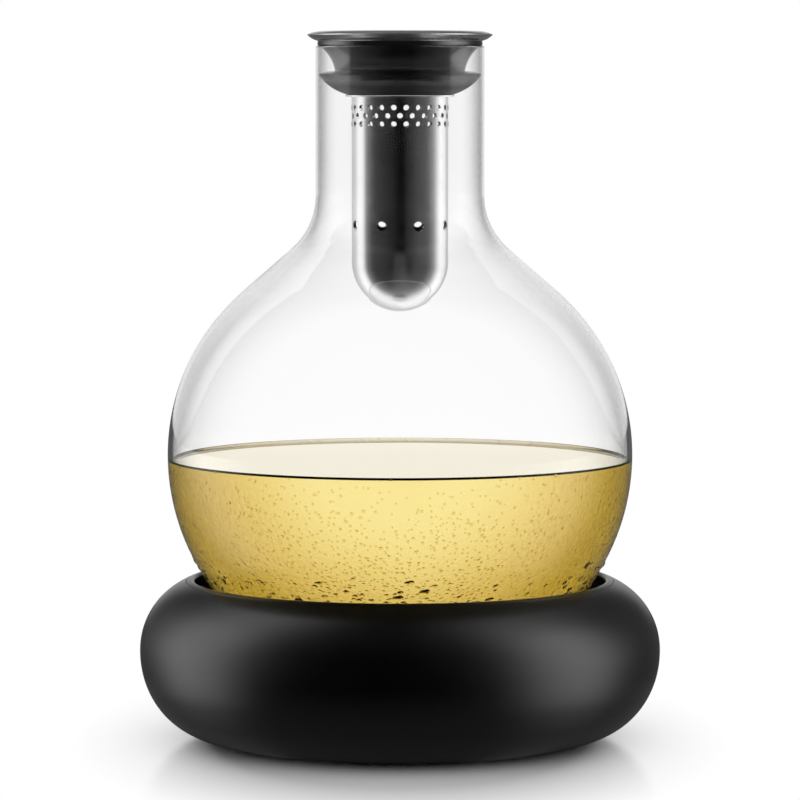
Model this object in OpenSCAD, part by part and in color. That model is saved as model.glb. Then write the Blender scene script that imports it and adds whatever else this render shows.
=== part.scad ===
// Round glass carafe that stands in an insulated bowl over a freezable core.
// A pouring lip with a soft seal and a perforated steel tube closes its neck.
// Origin: centre of the foot, on the surface the bowl stands on. +Z is up.

/* [Glass carafe] */
// Outer radius of the globe
globe_r = 74.4; // [68:0.1:80]
// Height of the upper half of the globe, taken as an ellipse
crown_h = 71.1; // [66:0.1:76]
// Depth of the lower half of the globe, taken as an ellipse
belly_h = 73; // [71:0.1:76]
// Radius of the flat foot
foot_r = 18.5; // [16:0.1:22]
// Lean of the shoulder away from the vertical, where it meets the globe
shoulder_lean = 49; // [40:1:56]
// Radius of the curve between neck and shoulder
shoulder_bend = 22.8; // [16:0.1:28]
// Outer radius of the neck
neck_r = 26.9; // [26:0.1:29]
// Height of the glass rim above the middle of the globe
neck_rise = 130.5; // [122:0.1:140]
// Wall of the neck
neck_wall = 1; // [0.8:0.05:1.4]
// Wall of the globe
globe_wall = 1.5; // [1.2:0.05:2.2]
// Glass at the foot
foot_wall = 3; // [2.4:0.1:4]
// Depth of the hollow under the foot
punt_h = 1.5; // [0.5:0.1:2]
// Radius of the hollow under the foot
punt_r = 9; // [6:0.1:10]
// Softened edge of the glass rim
rim_edge = 0.2; // [0.1:0.05:0.3]
// Wine surface below the middle of the globe
wine_drop = 1.7; // [0:0.1:40]

/* [Cooling bowl] */
// Gap between the globe and the mouth of the bowl, at the height of the bowl's crest
mouth_gap = 2.7; // [2.4:0.1:6]
// Width of the bowl from its mouth to its widest line
ring_w = 17.6; // [15:0.1:24]
// Distance from the mouth inwards to where the bulge of the bowl starts, above and below
bulge_lead = 7.7; // [6:0.1:11]
// Height of the widest part of the bowl
bulge_z = 28.6; // [26:0.1:32]
// Height of the bulge above its widest part
bulge_top = 24.2; // [22:0.1:26]
// Squareness of the bulge: 2 is an ellipse
bulge_power = 2.05; // [2:0.05:2.6]
// Wall of the outer shell
shell_wall = 3; // [2.6:0.1:3.6]
// Draft of the inner bowl: how much wider its mouth is than its floor
well_draft = 0.8; // [0.5:0.1:2]
// Wall of the inner bowl
liner_wall = 1.6; // [1.2:0.1:2]
// Width of the rim that the inner bowl lays over the shell
rim_w = 2.7; // [2.4:0.1:3]
// Thickness of that rim at its outer edge
rim_t = 1.6; // [1.2:0.1:1.8]
// Rounded inner edge of the rim
rim_round = 1.2; // [0.8:0.1:1.4]

/* [Bottom] */
// Gap between the bowl and the surface it stands on
foot_gap = 0.8; // [0.6:0.1:1.2]
// Thickness of the rubber foot ring
foot_ring_t = 1.6; // [1.4:0.1:1.8]
// Width of the foot ring
foot_ring_w = 8; // [6:0.5:10]
// Distance from the edge of the base plate to the foot ring
foot_ring_inset = 5.5; // [4:0.1:8]
// Thickness of the base plate
plate_t = 2; // [1.8:0.1:2.4]
// Distance from the start of the bowl's bulge to the edge of the base plate
plate_inset = 0.7; // [0.4:0.1:2]
// Space between the base plate and the floor of the inner bowl
floor_space = 5; // [4.5:0.1:6]
// Number of base screws
screw_count = 4; // [3:1:6]
// Distance from the foot ring to the middle of a base screw
screw_inset = 12; // [6:0.5:18]
// Shank radius of a base screw
screw_r = 1.5; // [1.2:0.05:1.7]
// Head radius of a base screw
screw_head_r = 2.9; // [2.6:0.05:3.2]
// Height of the countersunk screw head
screw_head_h = 1.4; // [1.2:0.05:1.6]
// Length of a base screw, head included
screw_len = 6; // [5:0.1:6.4]
// Radius of a screw boss
boss_r = 3.8; // [3.4:0.1:4.4]

/* [Freezable core] */
// Gap between the core and the wall of the inner bowl, at its floor
core_gap = 0.7; // [0.5:0.05:1.5]
// Width of the flat edge of the core round its dish
core_edge_w = 6.5; // [5:0.1:9]
// Wall of the core case and of its dished cover
core_wall = 1.5; // [1.2:0.1:1.8]
// Gap between the dish and the globe
dish_gap = 0.8; // [0.6:0.1:1.2]
// Thickness of the seat pad
pad_t = 3; // [2.6:0.1:3.4]
// Distance from the edge of the glass foot to the edge of the seat pad
pad_inset = 0.7; // [0.5:0.1:2]
// Inner radius of the seat pad
pad_hole_r = 7; // [5:0.1:8]
// Radius of the filling hole
plug_r = 4; // [3:0.1:5]
// Radius of the plug head
plug_head_r = 6.5; // [6:0.1:7.5]
// Thickness of the plug head
plug_head_t = 0.7; // [0.5:0.05:0.8]
// Length of the plug inside the gel
plug_tail = 0.8; // [0.5:0.1:1.2]

/* [Neck seal] */
// Thickness of the seal ring on the glass rim
ring_t = 1.4; // [1:0.1:2]
// Distance from the outside of the neck to the edge of the seal ring
ring_inset = 0.5; // [0.3:0.05:0.6]
// Width of the seal, from the bore for the tube to the tips of its fins
seal_w = 9.85; // [8:0.05:12]
// Depth of the seal below the glass rim
seal_depth = 15.5; // [14.5:0.1:18]
// Depth of the groove between the two fins
waist_w = 5.1; // [3.5:0.1:6]
// Depth of the waist below the glass rim
waist_depth = 7.9; // [7:0.1:8.2]
// Depth of the tip of the lower fin
fin_depth = 8.9; // [8.6:0.1:9.4]
// Thickness of the tip of the lower fin
fin_tip_t = 0.5; // [0.4:0.05:0.8]
// Width of the flat bottom of the seal
seal_bottom_w = 1.15; // [0.8:0.05:2.5]

/* [Pouring lip] */
// How far the drip edge reaches past the neck
lip_overhang = 2.7; // [2:0.1:4]
// Height of the drip edge above the glass rim
lip_rise = 3.4; // [3:0.05:4]
// Thickness of the drip edge
lip_edge_t = 0.35; // [0.25:0.05:0.5]
// Distance from the outside of the neck to the raised bead
bead_inset = 0.1; // [0:0.05:0.5]
// Height of the raised bead above the glass rim
bead_rise = 4.7; // [4.4:0.05:5.4]
// Distance from the edge of the seal ring to the collar that presses on it
collar_inset = 0.1; // [0:0.05:0.4]
// Sheet thickness of the funnel
funnel_t = 0.8; // [0.6:0.05:1]
// Length of the straight spout below the funnel
spout_len = 2; // [1.4:0.1:3]

/* [Perforated tube] */
// Wall of the tube
tube_wall = 0.8; // [0.6:0.05:1]
// Length of the tube inside the seal
tube_grip = 8; // [6:0.1:8.2]
// Length of the tube below the seal, with its round end
tube_len = 69.1; // [60:0.1:76]
// Thickness of the collar on the tube
tube_collar_t = 0.7; // [0.5:0.05:1]
// Width of the collar on the tube
tube_collar_w = 2.05; // [1.5:0.05:3]
// Radius of the small holes
small_hole_r = 1.05; // [0.8:0.05:1.2]
// Number of small holes in a row
small_hole_count = 24; // [18:2:26]
// Number of rows of small holes
small_hole_rows = 3; // [2:1:5]
// Distance from the seal to the first row
small_hole_top = 4.1; // [3.6:0.1:6]
// Distance between the rows
small_hole_pitch = 2.6; // [2.5:0.1:3]
// Radius of the large holes
large_hole_r = 1.55; // [1.2:0.05:2]
// Number of large holes
large_hole_count = 8; // [4:2:12]
// Distance from the seal to the large holes
large_hole_depth = 42; // [36:0.5:50]

/* [Clearances] */
// Gap round pieces that slide into each other
slide_gap = 0.3; // [0.25:0.05:0.4]
// Gap between pieces that are fixed together
fixed_gap = 0.1; // [0.05:0.05:0.15]
// Gap between the filling of a hollow and its walls
fill_gap = 0.2; // [0.15:0.05:0.3]
// Gap round a screw shank
screw_gap = 0.05; // [0.03:0.01:0.1]

/* [Hidden] */

// Smoothness of round parts, and steps of one curve in an outline
$fn = 96;
curve_steps = 24;
small_steps = 10;

// Overrun of a cut past the piece it cuts
cut = 1;

// Heights, from the surface up; the pad on the core carries the carafe
plate_z = foot_gap;
plate_top_z = plate_z + plate_t;
liner_z = plate_top_z + floor_space;
well_z = liner_z + liner_wall;
core_z = well_z;
// Depth of gel between the floor of the case and the cover under the pad
gel_floor = 5.2;
pad_z = core_z + 2 * core_wall + gel_floor;
foot_z = pad_z + pad_t;
foot_drop = belly_h * sqrt(1 - pow(foot_r / globe_r, 2));
globe_z = foot_z + foot_drop;

// Bowl: its mouth clears the globe, and the rest follows the mouth
mouth_r = dish_r(bulge_z + bulge_top, 0) + mouth_gap;
well_r = mouth_r - well_draft;
bowl_r = mouth_r + ring_w;
bulge_start_r = mouth_r - bulge_lead;
bulge_w = bowl_r - bulge_start_r;
bulge_bottom = bulge_z - plate_z;
rim_r = mouth_r + rim_w;
rim_z = bulge_height(rim_r);
liner_out_r = mouth_r + liner_wall;
ledge_r = liner_out_r + fixed_gap;
rebate_r = rim_r + fixed_gap;
ledge_z = rim_z - rim_t;

// Bottom
plate_r = bulge_start_r - plate_inset;
opening_r = plate_r - shell_wall;
foot_ring_r2 = plate_r - foot_ring_inset;
foot_ring_r1 = foot_ring_r2 - foot_ring_w;
screw_circle_r = foot_ring_r1 - screw_inset;

// Core: its flat edge starts where the dish has come near its wall
core_r = well_r - core_gap;
core_top_z = dish_z(core_r - core_edge_w, dish_gap);
core_h = core_top_z - core_z;
pad_r = foot_r - pad_inset;
recess_r = pad_r + fixed_gap;
gel_r = core_r - core_wall - fill_gap;
gel_inset = dish_gap + core_wall + fill_gap;
gel_top_z = core_top_z - core_wall - fill_gap;
gel_dip_z = pad_z - core_wall - fill_gap;

// Glass: the inside follows the outside by its walls
neck_in_r = neck_r - neck_wall;
globe_in_r = globe_r - globe_wall;
crown_in_h = crown_h - globe_wall;
belly_in_h = foot_drop - foot_wall;
bend_in = shoulder_bend + globe_wall;
neck_top_z = globe_z + neck_rise;
wine_z = globe_z - wine_drop;

// Neck seal and lip, from the glass rim
seal_bottom_z = neck_top_z - seal_depth;
ring_top_z = neck_top_z + ring_t;
ring_r = neck_r - ring_inset;
collar_r = ring_r - collar_inset;
bead_r = neck_r - bead_inset;
lip_r = neck_r + lip_overhang;
fin_r = neck_in_r - slide_gap;
waist_r = neck_in_r - waist_w;
fin_tip_z = neck_top_z - fin_depth;
waist_z = neck_top_z - waist_depth;
bead_z = neck_top_z + bead_rise;
lip_z = neck_top_z + lip_rise;
bore_r = fin_r - seal_w;
tube_r = bore_r - slide_gap;
seal_bottom_r = bore_r + seal_bottom_w;
tube_top_z = seal_bottom_z + tube_grip;
spout_z = tube_top_z + slide_gap;
spout_r = bore_r - fixed_gap;
funnel_z = spout_z + spout_len;

// Raised bead: its width, how far its inner edge and its outer wall lie below its crest
bead_w = 1.5;
bead_dip = 0.35;
bead_wall_h = 0.75;
// Rise of the rounded crest over the bead's two edges
bead_crest = 0.28;
// Hollow of the underside of the drip edge, and height of the straight collar under it
lip_hollow = 0.25;
collar_h = 0.3;

// The funnel is a stretch of an ellipse that opens towards the bead
funnel_sweep = 65;
funnel_end_r = bead_r - bead_w;
funnel_end_z = bead_z - bead_dip;
funnel_a = (funnel_end_r - spout_r + funnel_t) / (1 - cos(funnel_sweep));
funnel_b = (funnel_end_z - funnel_z) / sin(funnel_sweep);
funnel_c = spout_r - funnel_t + funnel_a;

// Bulges of the curved flanks of the seal
taper_hollow = 0.9;
bowl_bulge = 0.9;
fin_bulge = 0.25;

// Width, length and depth of the cross recess in a screw head
recess_w = 0.7;
recess_l = 2.8;
recess_h = 0.8;

// Tube
tube_in_r = tube_r - tube_wall;
tube_collar_r = tube_r + tube_collar_w;
tube_bottom_z = seal_bottom_z - tube_len;
dome_z = tube_bottom_z + tube_r;

function sgn_pow(v, e) = sign(v) * pow(abs(v), e);

// Point of a bulge with half width a and half height b at an angle
function bulge_point(a, b, angle) = [
    bulge_start_r + a * sgn_pow(cos(angle), 2 / bulge_power),
    bulge_z + b * sgn_pow(sin(angle), 2 / bulge_power)
];

// Height of the top of the bowl at a radius
function bulge_height(r) =
    bulge_z + bulge_top * pow(1 - pow((r - bulge_start_r) / bulge_w, bulge_power), 1 / bulge_power);

// Points of an ellipse round [cr, cz]
function ellipse(cr, cz, a, b, from, to, steps) = [
    for (i = [0 : steps]) let (t = from + (to - from) * i / steps) [cr + a * cos(t), cz + b * sin(t)]
];

// Arc from p to q that bulges to its right by a height h
function bulged(p, q, h, steps) =
    let (
        d = q - p,
        len = norm(d),
        side = [d[1], -d[0]] / len,
        r = (len * len / 4 + h * h) / (2 * h),
        half = asin(len / (2 * r)),
        centre = (p + q) / 2 - side * (r - h),
        start = atan2(side[1], side[0]) - half
    )
    [for (i = [0 : steps]) let (t = start + 2 * half * i / steps) centre + r * [cos(t), sin(t)]];

// Angle on an ellipse where its tangent leans away from the vertical
function lean_angle(a, b) = atan(tan(shoulder_lean) * b / a);

// Globe from its lower end, shoulder and neck, up to the glass rim
function carafe_side(a, crown, belly, low_angle, neck, bend) =
    let (
        t = lean_angle(a, crown),
        join_z = globe_z + crown * sin(t) + (a * cos(t) - neck) / tan(shoulder_lean),
        bend_z = join_z + bend * tan(shoulder_lean / 2)
    )
    concat(
        ellipse(0, globe_z, a, belly, low_angle, 0, curve_steps),
        ellipse(0, globe_z, a, crown, t / curve_steps, t, curve_steps - 1),
        ellipse(neck + bend, bend_z, bend, bend, 180 + shoulder_lean, 180, curve_steps)
    );

// List in the other order
function reverse(list) = [for (i = [len(list) - 1 : -1 : 0]) list[i]];

// The dish in the core follows the globe at a gap: its radius at a height, its height at a radius,
// and its outline
function dish_r(z, gap) = (globe_r + gap) * sqrt(1 - pow((globe_z - z) / (belly_h + gap), 2));
function dish_z(r, gap) = globe_z - (belly_h + gap) * sqrt(1 - pow(r / (globe_r + gap), 2));
function dish_angle(r, gap) = -acos(r / (globe_r + gap));
function dish(r1, r2, gap) =
    ellipse(0, globe_z, globe_r + gap, belly_h + gap, dish_angle(r1, gap), dish_angle(r2, gap), curve_steps);

// Repeats its children round the axis
module around(count, turn = 0) {
    for (i = [0 : count - 1]) rotate([0, 0, turn + i * 360 / count]) children();
}

// Full outline of the bowl, drawn in by an inset
module bowl_outline(inset) {
    side = [for (i = [0 : 2 * curve_steps])
        let (angle = -90 + 180 * i / (2 * curve_steps))
        bulge_point(bulge_w - inset, (angle < 0 ? bulge_bottom : bulge_top) - inset, angle)];
    polygon(concat([[0, side[0][1]]], side, [[0, side[2 * curve_steps][1]]]));
}

// Rectangle in the outline plane, from radius r1 to r2 and height z1 to z2
module band(r1, r2, z1, z2) {
    translate([r1, z1]) square([r2 - r1, z2 - z1]);
}

module cooler_shell() color("#202022") rotate_extrude() difference() {
    bowl_outline(0);
    difference() {
        bowl_outline(shell_wall);
        band(0, bowl_r, 0, plate_z + shell_wall);
    }
    band(0, ledge_r, bulge_z, rim_z + rim_t + cut);
    band(0, rebate_r, ledge_z, rim_z + rim_t + cut);
    band(0, opening_r, 0, plate_z + shell_wall + cut);
    band(0, plate_r + fixed_gap, 0, plate_top_z);
}

module inner_bowl() color("#1b1b1d") difference() {
    union() {
        rotate_extrude() polygon(concat(
            [[0, liner_z], [well_r + liner_wall, liner_z], [liner_out_r, ledge_z], [rim_r, ledge_z]],
            [for (i = [0 : small_steps])
                let (r = rim_r + (mouth_r + rim_round - rim_r) * i / small_steps) [r, bulge_height(r)]],
            ellipse(mouth_r + rim_round, bulge_height(mouth_r + rim_round) - rim_round,
                rim_round, rim_round, 100, 180, small_steps),
            [[well_r, well_z], [0, well_z]]
        ));
        around(screw_count) translate([screw_circle_r, 0, plate_top_z])
            cylinder(r = boss_r, h = floor_space + liner_wall / 2);
    }
    around(screw_count) translate([screw_circle_r, 0, plate_top_z - cut])
        cylinder(r = screw_r + screw_gap, h = screw_len - plate_t + screw_gap + cut);
}

module insulation() color("#e8dfb8") difference() {
    rotate_extrude() difference() {
        bowl_outline(shell_wall + fill_gap);
        band(0, bowl_r, 0, plate_z + shell_wall + fill_gap);
        band(0, bowl_r, ledge_z - shell_wall, bowl_r);
        polygon([
            [0, liner_z - fill_gap],
            [well_r + liner_wall + fill_gap, liner_z - fill_gap],
            [liner_out_r + fill_gap, ledge_z],
            [0, ledge_z]
        ]);
    }
    around(screw_count) translate([screw_circle_r, 0, 0]) cylinder(r = boss_r + fill_gap, h = liner_z);
}

module base_plate() color("#242426") difference() {
    translate([0, 0, plate_z]) cylinder(r = plate_r, h = plate_t);
    translate([0, 0, plate_z - cut]) difference() {
        cylinder(r = foot_ring_r2 + fixed_gap, h = cut + foot_ring_t - foot_gap);
        cylinder(r = foot_ring_r1 - fixed_gap, h = cut + foot_ring_t - foot_gap);
    }
    around(screw_count) translate([screw_circle_r, 0, plate_z]) {
        translate([0, 0, -cut]) cylinder(r = screw_r + screw_gap, h = plate_t + 2 * cut);
        cylinder(r1 = screw_head_r + screw_gap, r2 = screw_r + screw_gap, h = screw_head_h);
        translate([0, 0, -cut]) cylinder(r = screw_head_r + screw_gap, h = cut);
    }
}

module base_screws() color("#b9bcc0") around(screw_count) translate([screw_circle_r, 0, plate_z])
    difference() {
        union() {
            cylinder(r1 = screw_head_r, r2 = screw_r, h = screw_head_h);
            cylinder(r = screw_r, h = screw_len);
        }
        for (turn = [0, 90]) rotate([0, 0, turn]) translate([-recess_w / 2, -recess_l / 2, -cut])
            cube([recess_w, recess_l, cut + recess_h]);
    }

module foot_ring() color("#2b2b2b") difference() {
    cylinder(r = foot_ring_r2, h = foot_ring_t);
    translate([0, 0, -cut]) cylinder(r = foot_ring_r1, h = foot_ring_t + 2 * cut);
}

module core_case() color("#5a6066") difference() {
    translate([0, 0, core_z]) cylinder(r = core_r, h = core_h - core_wall);
    translate([0, 0, core_z + core_wall]) cylinder(r = core_r - core_wall, h = core_h);
    translate([0, 0, core_z - cut]) cylinder(r = plug_r + fixed_gap, h = core_wall + 2 * cut);
    translate([0, 0, core_z - cut]) cylinder(r = plug_head_r + fixed_gap, h = cut + plug_head_t);
}

module core_cover() color("#4b5056") rotate_extrude() polygon(concat(
    [[0, pad_z], [recess_r, pad_z]],
    dish(recess_r, dish_r(core_top_z, dish_gap), dish_gap),
    [[core_r, core_top_z], [core_r, core_top_z - core_wall]],
    dish(dish_r(core_top_z - core_wall, dish_gap + core_wall), recess_r + core_wall, dish_gap + core_wall),
    [[recess_r + core_wall, pad_z - core_wall], [0, pad_z - core_wall]]
));

module core_gel() color("#8fc4dc") difference() {
    rotate_extrude() polygon(concat(
        [[0, core_z + core_wall + fill_gap], [gel_r, core_z + core_wall + fill_gap], [gel_r, gel_top_z]],
        dish(dish_r(gel_top_z, gel_inset), recess_r + core_wall + fill_gap, gel_inset),
        [[recess_r + core_wall + fill_gap, gel_dip_z], [0, gel_dip_z]]
    ));
    translate([0, 0, core_z]) cylinder(r = plug_r + fill_gap, h = core_wall + plug_tail + fill_gap);
}

module core_plug() color("#303234") translate([0, 0, core_z]) {
    cylinder(r = plug_head_r, h = plug_head_t);
    cylinder(r = plug_r, h = core_wall + plug_tail);
}

module seat_pad() color("#3a3a3c") translate([0, 0, pad_z]) difference() {
    cylinder(r = pad_r, h = pad_t);
    translate([0, 0, -cut]) cylinder(r = pad_hole_r, h = pad_t + 2 * cut);
}

module glass_carafe() color("#dfe8ea", 0.35) rotate_extrude() polygon(concat(
    ellipse(0, foot_z, punt_r, punt_h, 90, 0, small_steps),
    carafe_side(globe_r, crown_h, belly_h, -asin(foot_drop / belly_h), neck_r, shoulder_bend),
    [[neck_r, neck_top_z - rim_edge], [neck_r - rim_edge, neck_top_z]],
    [[neck_in_r + rim_edge, neck_top_z], [neck_in_r, neck_top_z - rim_edge]],
    reverse(carafe_side(globe_in_r, crown_in_h, belly_in_h, -90, neck_in_r, bend_in))
));

// The filling stays just clear of the glass all round
module wine() color("#e8cf62", 0.7) rotate_extrude() polygon(concat(
    ellipse(0, globe_z, globe_in_r - fill_gap, belly_in_h - fill_gap, -90,
        -asin(wine_drop / (belly_in_h - fill_gap)), 2 * curve_steps),
    [[0, wine_z]]
));

module neck_seal() color("#161616") rotate_extrude() polygon(concat(
    [[bore_r, seal_bottom_z]],
    bulged([seal_bottom_r, seal_bottom_z], [fin_r, fin_tip_z - fin_tip_t], bowl_bulge, curve_steps),
    bulged([fin_r, fin_tip_z], [waist_r, waist_z], fin_bulge, small_steps),
    bulged([waist_r, waist_z + fin_bulge], [fin_r, neck_top_z], -taper_hollow, curve_steps),
    [[ring_r, neck_top_z], [ring_r, ring_top_z]],
    funnel_outside(fixed_gap)
));

module pouring_lip() color("#9a9c9e") rotate_extrude() polygon(concat(
    [[spout_r - funnel_t, spout_z]],
    ellipse(funnel_c, funnel_z, funnel_a, funnel_b, 180, 180 - funnel_sweep, curve_steps),
    bulged([funnel_end_r + fixed_gap, funnel_end_z], [bead_r, funnel_end_z], -bead_crest, small_steps),
    bulged([bead_r, bead_z - bead_wall_h], [lip_r, lip_z], lip_hollow / 2, small_steps),
    bulged([lip_r, lip_z - lip_edge_t], [collar_r, ring_top_z + collar_h], lip_hollow, small_steps),
    [[collar_r, ring_top_z]],
    funnel_outside(0),
    [[spout_r, spout_z]]
));

// Outer side of the funnel, from the top of the seal down, at a gap
function funnel_outside(gap) =
    let (
        a = funnel_a - funnel_t - gap,
        b = funnel_b - funnel_t - gap,
        top = asin((ring_top_z - funnel_z) / b)
    )
    ellipse(funnel_c, funnel_z, a, b, 180 - top, 180, curve_steps);

// Ring of holes through the wall of the tube; with no turn, one of them faces the front
module tube_holes(r, count, z, turn) {
    translate([0, 0, z]) around(count, turn)
        rotate([90, 0, 0]) translate([0, 0, tube_in_r - cut]) cylinder(r = r, h = tube_wall + 2 * cut);
}

// Half outline of a rod with a round lower end
module round_end(r, z2) {
    intersection() {
        translate([0, dome_z]) circle(r = r);
        band(0, r, dome_z - r, dome_z);
    }
    band(0, r, dome_z, z2);
}

module aerator_tube() color("#b4b6b8") difference() {
    rotate_extrude() difference() {
        round_end(tube_r, tube_top_z);
        round_end(tube_in_r, tube_top_z + cut);
    }
    for (row = [0 : small_hole_rows - 1])
        tube_holes(small_hole_r, small_hole_count, seal_bottom_z - small_hole_top - row * small_hole_pitch,
            (row + 1) % 2 * 180 / small_hole_count);
    tube_holes(large_hole_r, large_hole_count, seal_bottom_z - large_hole_depth, 180 / large_hole_count);
}

module tube_collar() color("#c4c6c8") translate([0, 0, seal_bottom_z - tube_collar_t]) difference() {
    cylinder(r = tube_collar_r, h = tube_collar_t);
    translate([0, 0, -cut]) cylinder(r = tube_r + fixed_gap, h = tube_collar_t + 2 * cut);
}

cooler_shell();
inner_bowl();
insulation();
base_plate();
base_screws();
foot_ring();
core_case();
core_cover();
core_gel();
core_plug();
seat_pad();
glass_carafe();
wine();
neck_seal();
pouring_lip();
aerator_tube();
tube_collar();
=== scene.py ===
"""Looks of a glass carafe of white wine that stands in a matte black cooling bowl.

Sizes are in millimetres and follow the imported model; MM turns them into the scene's metres.
"""
import math

import bmesh
import bpy
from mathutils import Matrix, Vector


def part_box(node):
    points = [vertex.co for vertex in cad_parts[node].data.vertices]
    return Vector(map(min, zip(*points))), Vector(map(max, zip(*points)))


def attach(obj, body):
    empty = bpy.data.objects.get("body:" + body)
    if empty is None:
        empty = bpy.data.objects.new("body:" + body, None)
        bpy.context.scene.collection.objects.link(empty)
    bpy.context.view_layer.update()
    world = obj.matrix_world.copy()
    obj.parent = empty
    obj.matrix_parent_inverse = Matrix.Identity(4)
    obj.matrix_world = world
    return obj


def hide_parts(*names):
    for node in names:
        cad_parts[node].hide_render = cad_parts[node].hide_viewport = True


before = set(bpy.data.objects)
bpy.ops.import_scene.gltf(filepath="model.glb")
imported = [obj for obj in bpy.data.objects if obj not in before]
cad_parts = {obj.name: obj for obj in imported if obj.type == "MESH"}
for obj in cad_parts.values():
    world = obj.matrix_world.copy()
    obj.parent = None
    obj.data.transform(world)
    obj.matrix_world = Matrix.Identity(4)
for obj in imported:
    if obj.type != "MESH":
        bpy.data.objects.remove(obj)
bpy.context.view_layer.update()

MM = 0.001


# Sizes taken from the imported model

def span(node):
    """Outer radius, lowest and highest height of a round CAD node."""
    low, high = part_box(node)
    return high[0] / MM, low[2] / MM, high[2] / MM


GLOBE_R, FOOT_Z, GLASS_TOP = span("glass_carafe")
BOWL_R, BOWL_LOW = span("cooler_shell")[:2]
RIM_R, LINER_LOW = span("inner_bowl")[:2]
WINE_TOP = span("wine")[2]
SEAL_R, SEAL_LOW, SEAL_TOP = span("neck_seal")
LIP_R, SPOUT_LOW, LIP_TOP = span("pouring_lip")
TUBE_R, TUBE_LOW, TUBE_TOP = span("aerator_tube")
COLLAR_R, COLLAR_LOW, COLLAR_TOP = span("tube_collar")
PLATE_R, PLATE_LOW, PLATE_TOP = span("base_plate")
CORE_LOW = span("core_case")[1]

# Glass

CROWN_H = 71.1
BELLY_H = 73
FOOT_R = 18.5
FOOT_DROP = BELLY_H * math.sqrt(1 - (FOOT_R / GLOBE_R) ** 2)
GLOBE_Z = FOOT_Z + FOOT_DROP
SHOULDER_LEAN = 49
SHOULDER_BEND = 22.8
NECK_R = 26.9
NECK_WALL = 1.0
GLOBE_WALL = 1.5
FOOT_WALL = 3
PUNT_R = 9
PUNT_H = 1.5
NECK_IN_R = NECK_R - NECK_WALL
# Rings that keep the straight neck's mesh even, by height and by depth under its rounded rim
NECK_RINGS = (185, 195, 205, 215)
RIM_RINGS = (0.3, 0.05)

# Wine

# How far the wine's skin lies inside the glass, so that light meets no film of air
WINE_SINK = 0.25
MENISCUS_H = 0.9
MENISCUS_W = 1.8
MENISCUS_POWER = 2.4
SURFACE_RINGS = (60, 45, 30, 15)

# Bowl

RIM_W = 2.7
MOUTH_R = RIM_R - RIM_W
WELL_R = MOUTH_R - 0.8
BULGE_START_R = MOUTH_R - 7.7
BULGE_Z = 28.6
BULGE_TOP = 24.2
BULGE_POWER = 2.05
SHELL_WALL = 3
LINER_WALL = 1.6
LINER_BEND = 2
RIM_T = 1.6
RIM_ROUND = 1.2
RIM_EDGE_W = 0.08
RIM_EDGE_H = 0.12
SEAM_GAP = 0.04
SEAM_DIP = 0.03
# The bulge's own points stop this far from the seam
SEAM_CLEAR = 0.4
FIT_GAP = 0.1
SHELL_EDGE_H = 0.25
SHELL_EDGE_W = 0.3
# Under the rim and over the base plate the shell's inside stops this far short
INSIDE_CLEAR = 3.2

# Seal

FIN_GAP = 0.06
FIN_DEPTH = 8.9
FIN_TIP = 0.5
FIN_BULGE = 0.9
WAIST_R = 20.8
WAIST_DEPTH = 7.9
SEAL_FOOT_R = 16.6
SEAL_BORE_R = TUBE_R + 0.3
SEAL_RING_W = 5

# Pouring lip

FUNNEL_T = 0.8
FUNNEL_SWEEP = 65
BEAD_R = 26.8
BEAD_W = 1.5
BEAD_DIP = 0.35
SPOUT_R = TUBE_R + 0.2
FUNNEL_Z = SPOUT_LOW + 2
FUNNEL_A = (BEAD_R - BEAD_W - SPOUT_R + FUNNEL_T) / (1 - math.cos(math.radians(FUNNEL_SWEEP)))
FUNNEL_B = (LIP_TOP - BEAD_DIP - FUNNEL_Z) / math.sin(math.radians(FUNNEL_SWEEP))
FUNNEL_C = SPOUT_R - FUNNEL_T + FUNNEL_A
LIP_COLLAR_R = 26.3
LIP_EDGE_Z = GLASS_TOP + 3.7
LIP_EDGE_T = 0.35
LIP_EDGE_W = 0.17

# Tube

TUBE_WALL = 0.8
TUBE_EDGE = 0.15
DOME_Z = TUBE_LOW + TUBE_R
# Rings over the dome: the first two by height, the next from there on at a pitch fit for the holes
LOW_RINGS = (2, 6)
EVEN_RINGS = 9
RING_PITCH = 0.8

# Steps of the turned meshes

TURN_STEPS = 224
FINE_TURN_STEPS = 256
TUBE_TURN_STEPS = 240
BELLY_STEPS = 56
BULGE_STEPS = 96
MENISCUS_STEPS = 14
# Edges sharper than this, in degrees, are shaded sharp
SHARP_ANGLE = 32
AXIS_R = 1e-4


def ellipse(centre_r, centre_z, a, b, start, end, steps=40):
    """Points of an ellipse, with angles in degrees from the outward direction."""
    points = []
    for i in range(steps + 1):
        t = math.radians(start + (end - start) * i / steps)
        points.append((centre_r + a * math.cos(t), centre_z + b * math.sin(t)))
    return points


def bulged(p, q, height, steps=16):
    """Arc from p to q that bulges by a height to the right of the way from p to q."""
    p, q = Vector(p), Vector(q)
    along = q - p
    side = Vector((along.y, -along.x)).normalized()
    radius = (along.length_squared / 4 + height * height) / (2 * height)
    half = math.asin(along.length / (2 * radius))
    centre = (p + q) / 2 - side * (radius - height)
    start = math.atan2(side.y, side.x) - half
    angles = [start + 2 * half * i / steps for i in range(steps + 1)]
    return [tuple(centre + radius * Vector((math.cos(t), math.sin(t)))) for t in angles]


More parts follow.
